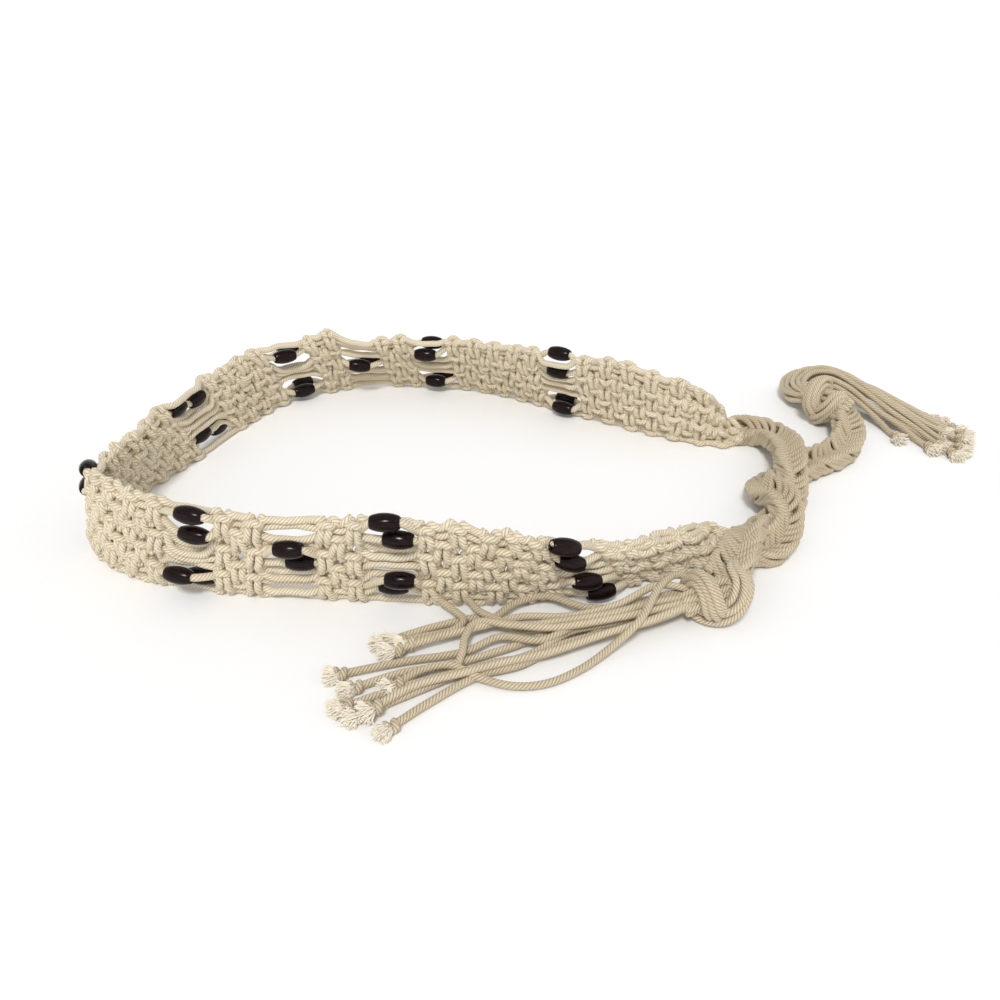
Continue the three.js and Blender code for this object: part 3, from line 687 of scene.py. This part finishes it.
def run_on(cords, plait, start):
    """The band's cords carried on into the cords of a plait that starts there, matched by height"""
    end = 0 if start else -1
    order = sorted(range(CORDS), key=lambda k: cords[k][end][2])
    into = sorted(range(CORDS), key=lambda k: plait[k][0][2])
    for k, other in zip(order, into):
        cord = cords[k][::-1] if start else cords[k]
        joint = catmull(np.vstack([cord[-12:-3:4], plait[other][[2, 10]]]), 8)
        cord = np.vstack([cord[:-12], joint])
        cords[k] = cord[::-1] if start else cord


cords = band_cords()
run_on(cords, [path[::-1] for path in front_plait], True)
run_on(cords, back_plait, False)
for first, name in ((0, "band_low_cords"), (4, "band_middle_cords"), (8, "band_top_cords")):
    add_piece(name, [ropes(cords[first:first + 4], KNOTTED)], COTTON, "cotton_cord", "woven_band")
# The plaits' colour is darkened as painted shade between their strands
add_piece("back_plait_cords", [ropes(back_plait, PLAITED)], COTTON, "cotton_cord", "back_plait",
          painted_shade=PLAIT_PAINTED_SHADE)
add_piece("front_plait_cords", [ropes(front_plait, PLAITED)], COTTON, "cotton_cord", "front_plait",
          painted_shade=PLAIT_PAINTED_SHADE)


# Tassels
def circle(count, radius, start):
    """Places of that many cords round a bundle's middle"""
    angles = [2 * math.pi * k / count + start for k in range(count)]
    return [(radius * math.cos(angle), radius * math.sin(angle)) for angle in angles]


BUNDLE = circle(8, 3.3, 0.0) + circle(4, 1.2, 0.4)
# The bundle's turn about itself through the knot in radians, how far its cords wander, and the
# step along its route
BUNDLE_TWIST = 1.2
BUNDLE_WANDER = 0.5
ROUTE_STEP = 0.7


def along_route(points, spread, twist):
    """Cords side by side in a bundle that follows a route"""
    line = catmull(np.array(points, float), 16)
    line = resample(line, int(np.linalg.norm(np.diff(line, axis=0), axis=1).sum() / ROUTE_STEP))
    tangent = unit(np.gradient(line, axis=0))
    normal = np.empty_like(line)
    normal[0] = unit(np.cross(tangent[0], UP))
    for i in range(1, len(line)):
        v = normal[i - 1]
        normal[i] = unit(v - tangent[i] * np.dot(v, tangent[i]))
    side = np.cross(tangent, normal)
    turn = np.linspace(0, twist, len(line))[:, None]
    paths = []
    s = np.arange(len(line))[:, None] * ROUTE_STEP
    for k, (x, y) in enumerate(spread):
        a = x * np.cos(turn) - y * np.sin(turn) + BUNDLE_WANDER * np.sin(s / 5.0 + 2.4 * k)
        b = x * np.sin(turn) + y * np.cos(turn) + BUNDLE_WANDER * np.sin(s / 6.5 + 1.3 * k)
        path = line + normal * a + side * b
        path[:, 2] = np.maximum(path[:, 2], CORD / 2)
        paths.append(path)
    return paths


def knot_bundle(knot):
    """The cords wound once round the tassel's root and out through the middle"""
    centre = np.array(knot["centre"], float)
    way = unit(np.array(knot["way"], float))
    near = unit(np.cross(UP, way))
    up = np.cross(way, near)
    size = knot["size"]
    route = [centre + way * a + near * b * size + up * c * size for a, b, c in knot["route"]]
    return along_route(route, BUNDLE, BUNDLE_TWIST)


# How much paler the frayed tips are, how many fibres each has, and a fibre's radius
TIP_TINT = 5.3
FIBRES = 150
FIBRE = 0.4


def tip_fibres(tip, way):
    """A frayed end: soft fibres that splay from the tip like a brush"""
    paths = []
    way = unit(way)
    side = unit(np.cross(way, UP))
    rise = np.cross(side, way)
    t = np.linspace(0, 1, 6)[:, None]
    for _ in range(FIBRES):
        angle, spread = rng.uniform(0, 2 * np.pi), math.sqrt(rng.uniform(0, 1))
        off = side * math.cos(angle) + rise * math.sin(angle)
        length = rng.uniform(5.0, 8.0) * (1 - 0.3 * spread)
        curl = unit(rng.normal(0, 1, 3)) * rng.uniform(0.3, 1.5)
        path = tip + off * spread * 1.3 + way * (t * length - 2.2) + off * spread * 2.9 * t
        path = path + curl * np.sin(t * rng.uniform(2, 6)) * t
        path[:, 2] = np.maximum(path[:, 2], FIBRE)
        paths.append(path)
    verts, faces, uvs, tints = ropes(paths, radius=FIBRE, sides=4, step=1.5)
    uvs[:, 0::2] = 0.5 / PLIES
    uvs[:, 1::2] = 0.0
    return verts, faces, uvs, tints * 0 + TIP_TINT


# A tip's small knot: how far round its cord winds, how wide, where it starts and how long it is
TIP_TURNS = 1.7
TIP_RADIUS = 2.0
TIP_START = -4.5
TIP_LENGTH = 5.5


def tip_knot(path):
    """A small turn of cord near the end of a path, which reads as a knot"""
    tip, way = path[-1], unit(path[-1] - path[-3])
    side = unit(np.cross(way, UP))
    rise = np.cross(side, way)
    points = []
    for t in np.linspace(0, 1, 30):
        angle = 2 * np.pi * TIP_TURNS * t
        r = TIP_RADIUS * math.sin(math.pi * min(1, t * 1.05)) ** 0.5
        round_it = (side * math.cos(angle) + rise * math.sin(angle)) * r
        points.append(tip + way * (TIP_START + TIP_LENGTH * t) + round_it)
    points = np.array(points)
    points[:, 2] = np.maximum(points[:, 2], CORD / 2)
    return points


def tassel(name, cad_node, knot, tails, hidden_tips=()):
    """A tied knot, the cords that hang out of it, and a small knot and a frayed end on each"""
    bundle = knot_bundle(knot)
    paths, extras, knots = [], [], []
    centre = np.array(knot["centre"], float)
    for k, tail in enumerate(tails):
        tail = np.array(tail, float)
        tail[:, 2] = np.maximum(tail[:, 2], CORD / 2)
        start = centre + 0.25 * (tail[0] - centre)
        path = catmull(np.vstack([start, tail]), 14)
        path[:, 2] = np.maximum(path[:, 2], CORD / 2)
        paths.append(path)
        if k in hidden_tips:
            continue
        knots.append(tip_knot(path))
        extras.append(tip_fibres(path[-1], path[-1] - path[-4]))
    parts = [ropes(bundle, PLAITED), ropes(paths), ropes(knots, radius=TIP_CORD)] + extras
    for verts, *_ in parts:
        verts[:, 2] = np.maximum(verts[:, 2], TASSEL_OFF_FLOOR)
    # The tassel's colour is darkened as painted shade between its cords, the frayed tips too
    add_piece(name, parts, COTTON, "cotton_cord", cad_node, painted_shade=TASSEL_PAINTED_SHADE)


tassel("front_tassel_cords", "front_tassel", FRONT_KNOT, FRONT_CORDS, hidden_tips=(7,))
tassel("back_tassel_cords", "back_tassel", BACK_KNOT, BACK_CORDS)


# Floor, light and camera
FLOOR_REACH = 30.0


def add_floor():
    """A wide pale floor"""
    mesh = bpy.data.meshes.new("floor")
    corners = [(x * FLOOR_REACH, y * FLOOR_REACH, 0) for x, y in ((-1, -1), (1, -1), (1, 1), (-1, 1))]
    mesh.from_pydata(corners, [], [(0, 1, 2, 3)])
    floor = bpy.data.objects.new("floor", mesh)
    bpy.context.collection.objects.link(floor)
    material = bpy.data.materials.new("pale_floor")
    material.use_nodes = True
    shader = material.node_tree.nodes["Principled BSDF"]
    shader.inputs["Base Color"].default_value = (0.93, 0.93, 0.93, 1)
    shader.inputs["Roughness"].default_value = 1.0
    shader.inputs["Specular IOR Level"].default_value = 0.0
    mesh.materials.append(material)


def add_sun(name, turns, power, softness):
    """A far light: turns and softness in degrees"""
    data = bpy.data.lights.new(name, "SUN")
    data.energy = power
    data.angle = math.radians(softness)
    light = bpy.data.objects.new(name, data)
    bpy.context.collection.objects.link(light)
    light.rotation_euler = [math.radians(turn) for turn in turns]


def add_camera():
    """The photo's view of the belt"""
    data = bpy.data.cameras.new("camera")
    data.sensor_width = 36
    data.lens = 36
    data.clip_start = 0.01
    camera = bpy.data.objects.new("camera", data)
    bpy.context.collection.objects.link(camera)
    camera.location = (-MIDDLE[0] * MM, -MIDDLE[1] * MM, CAMERA_HEIGHT * MM)
    camera.rotation_euler = (math.radians(90 - CAMERA_TILT), 0, 0)
    bpy.context.scene.camera = camera


def add_world():
    """A white surround that is dimmer overhead"""
    world = bpy.data.worlds.new("studio")
    world.use_nodes = True
    tree = world.node_tree
    background = tree.nodes["Background"]
    background.inputs[0].default_value = (1, 1, 1, 1)
    way = node(tree, "ShaderNodeTexCoord")
    parts = node(tree, "ShaderNodeSeparateXYZ")
    tree.links.new(way.outputs["Generated"], parts.inputs[0])
    power = node(tree, "ShaderNodeMapRange")
    power.inputs["From Min"].default_value = 0.24
    power.inputs["From Max"].default_value = 0.5
    power.inputs["To Min"].default_value = 1.0
    power.inputs["To Max"].default_value = 0.58
    tree.links.new(parts.outputs[2], power.inputs["Value"])
    tree.links.new(power.outputs[0], background.inputs[1])
    bpy.context.scene.world = world


add_floor()
add_sun("key", (38, -5, -3), 1.75, 12)
add_sun("fill", (50, 20, 60), 0.2, 60)
add_world()
add_camera()
bpy.context.scene.view_settings.view_transform = "Standard"
